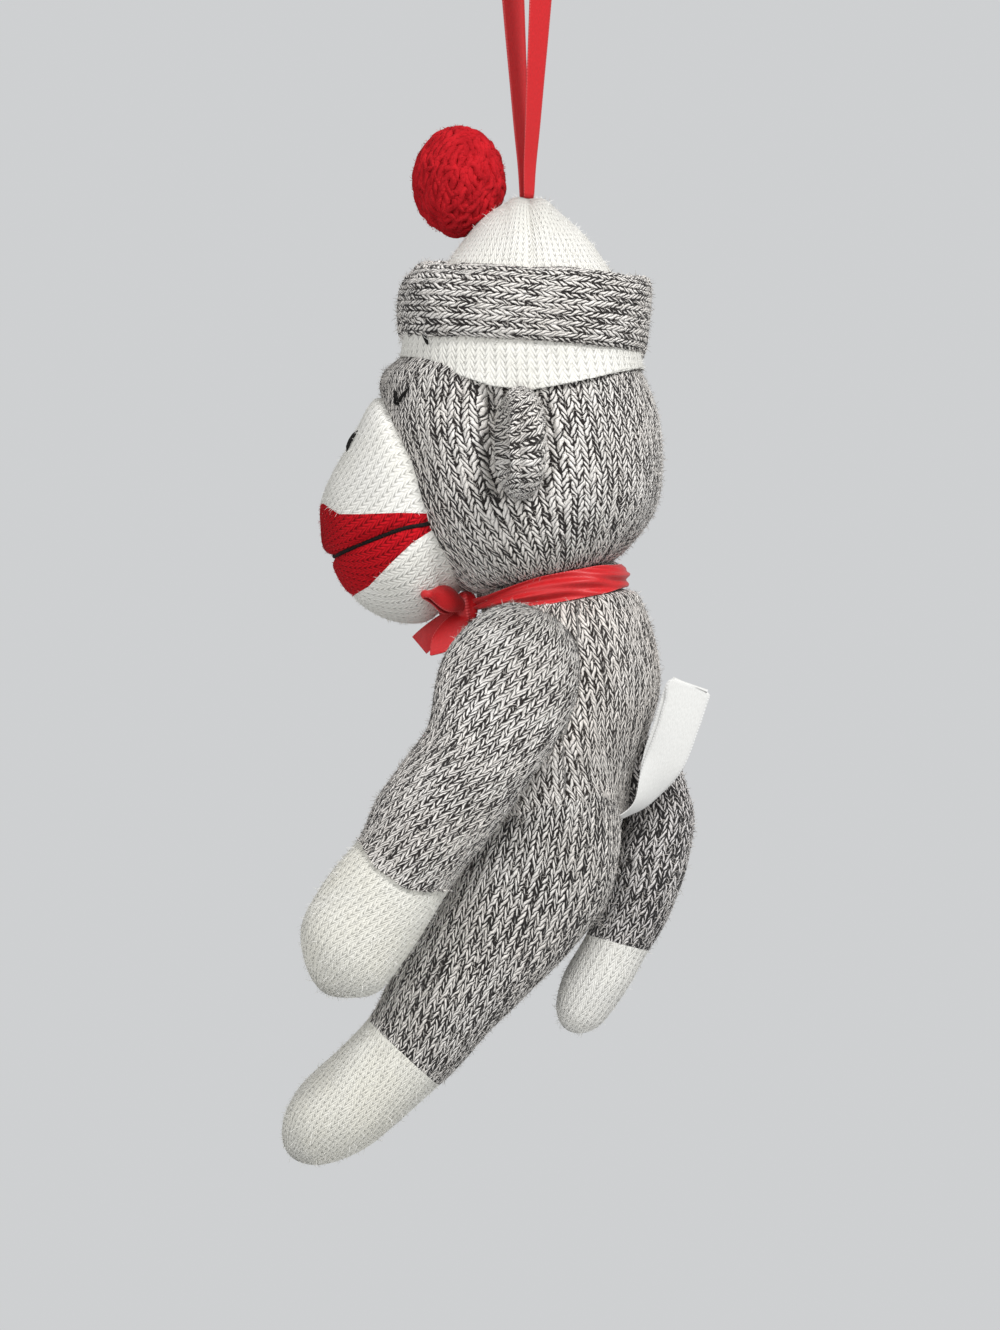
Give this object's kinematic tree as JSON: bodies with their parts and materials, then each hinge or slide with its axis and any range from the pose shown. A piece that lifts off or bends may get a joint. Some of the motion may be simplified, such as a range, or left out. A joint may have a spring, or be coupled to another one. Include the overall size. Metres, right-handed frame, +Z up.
{
  "type": "sock monkey doll",
  "caption": "Small stuffed sock monkey doll in marled, white and red knit, with a pompom hat and ribbon bow, hung from a red satin loop.",
  "frame": {"origin": "top of the hanging ribbon loop, where the hook or finger holds it", "axes": "+Z up along the hanging direction, the doll faces -Y and its left hand is at +X"},
  "size_m": [0.1074, 0.1113, 0.3316],
  "materials": {
    "marled_knit": "fuzzy grey and cream marled sock knit",
    "white_knit": "fuzzy off-white sock knit",
    "red_knit": "fuzzy red sock knit",
    "red_yarn": "looped red yarn",
    "red_satin": "soft satin sheen, woven edges",
    "white_satin": "thin white satin tape, bare",
    "black_thread": "stitched black yarn"
  },
  "bodies": {
    "loop": {"hang_ribbon": "red_satin"},
    "head": {"hat_cap": "white_knit", "hat_cuff": "marled_knit", "head_knit": "marled_knit", "muzzle_top": "white_knit", "upper_lip": "red_knit", "lower_lip": "red_knit", "muzzle_chin": "white_knit", "mouth_line": "black_thread", "left_ear": "marled_knit", "right_ear": "marled_knit", "left_eye": "black_thread", "right_eye": "black_thread", "left_nostril": "black_thread", "right_nostril": "black_thread"},
    "pompom": {"pompom": "red_yarn"},
    "torso": {"torso_knit": "marled_knit", "neck_ribbon": "red_satin", "bow_knot": "red_satin", "bow_loop_left": "red_satin", "bow_loop_right": "red_satin", "bow_tail_left": "red_satin", "bow_tail_right": "red_satin"},
    "tail": {"tail_knit": "marled_knit", "tail_tip": "white_knit"},
    "label": {"care_label": "white_satin"},
    "left_arm": {"left_arm_knit": "marled_knit", "left_hand": "white_knit"},
    "left_leg": {"left_leg_knit": "marled_knit", "left_foot": "white_knit"},
    "right_arm": {"right_arm_knit": "marled_knit", "right_hand": "white_knit"},
    "right_leg": {"right_leg_knit": "marled_knit", "right_foot": "white_knit"}
  },
  "joints": [
    {"name": "hang_swing", "type": "hinge", "parent": "loop", "child": "head", "pos_m": [0, 0, -0.078], "axis": [-1, 0, 0], "range_deg": [-12, 8]},
    {"name": "neck_nod", "type": "hinge", "parent": "head", "child": "torso", "pos_m": [0, 0.0058, -0.18], "axis": [-1, 0, 0], "range_deg": [-8, 2], "stiffness_Nm_per_rad": 0.06},
    {"name": "left_shoulder", "type": "hinge", "parent": "torso", "child": "left_arm", "pos_m": [0.03, -0.00343, -0.20237], "axis": [-1, 0, 0], "range_deg": [-18, 50], "stiffness_Nm_per_rad": 0.004, "springref_deg": 17.19},
    {"name": "right_shoulder", "type": "hinge", "parent": "torso", "child": "right_arm", "pos_m": [-0.03, -0.00343, -0.20237], "axis": [-1, 0, 0], "range_deg": [-18, 50], "stiffness_Nm_per_rad": 0.004, "springref_deg": 17.19},
    {"name": "left_hip", "type": "hinge", "parent": "torso", "child": "left_leg", "pos_m": [0.0151, 0.0075, -0.24079], "axis": [-1, 0, 0], "range_deg": [0, 34], "stiffness_Nm_per_rad": 0.006, "springref_deg": 20.05},
    {"name": "right_hip", "type": "hinge", "parent": "torso", "child": "right_leg", "pos_m": [-0.0151, 0.0075, -0.24079], "axis": [-1, 0, 0], "range_deg": [0, 34], "stiffness_Nm_per_rad": 0.006, "springref_deg": 20.05},
    {"name": "tail_swing", "type": "hinge", "parent": "torso", "child": "tail", "pos_m": [0, 0.0305, -0.22983], "axis": [-1, 0, 0], "range_deg": [-60, 0], "stiffness_Nm_per_rad": 0.001, "springref_deg": 2.86},
    {"name": "pompom_wobble", "type": "hinge", "parent": "head", "child": "pompom", "pos_m": [0, -0.01406, -0.08514], "axis": [-1, 0, 0], "range_deg": [-6, 6], "stiffness_Nm_per_rad": 0.002},
    {"name": "label_flap", "type": "hinge", "parent": "torso", "child": "label", "pos_m": [0.0176, 0.0244, -0.2408], "axis": [0, 0.8846, -0.4664], "range_deg": [-4, 60], "stiffness_Nm_per_rad": 0.0005}
  ]
}
